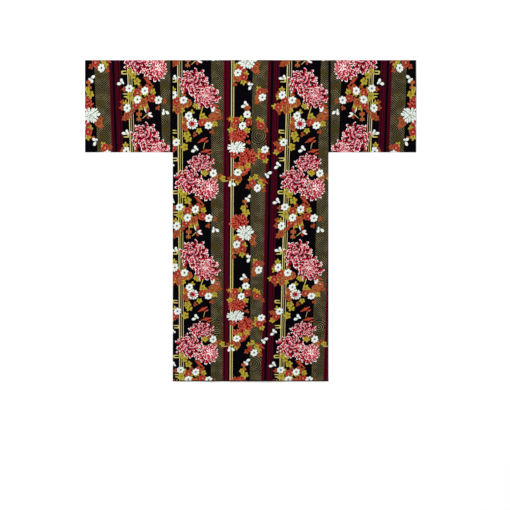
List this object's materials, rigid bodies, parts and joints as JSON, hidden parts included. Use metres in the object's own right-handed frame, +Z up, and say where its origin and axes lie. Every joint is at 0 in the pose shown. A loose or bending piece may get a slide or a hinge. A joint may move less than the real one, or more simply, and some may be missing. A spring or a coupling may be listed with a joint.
{
  "type": "yukata",
  "caption": "Unlined cotton yukata laid flat with its back up: straight tube sleeves, overlapping fronts and a folded collar, printed with mums on stripes.",
  "frame": {"origin": "on the surface it lies on, under the middle of the garment's outline", "axes": "+X from the wearer's left sleeve to the right one, +Y from the hem to the shoulders, +Z up, out of the back"},
  "size_m": [1.34, 1.3, 0.0066],
  "materials": {
    "printed_cotton": "matt plain-weave cotton, printed with flowers on dark stripes",
    "sewing_thread": "matt dark cotton thread"
  },
  "bodies": {
    "root": {"body_panel_left": "printed_cotton", "body_panel_right": "printed_cotton", "overlap_panel_left": "printed_cotton", "overlap_panel_right": "printed_cotton", "sleeve_left": "printed_cotton", "sleeve_right": "printed_cotton", "collar": "printed_cotton"}
  },
  "joints": []
}
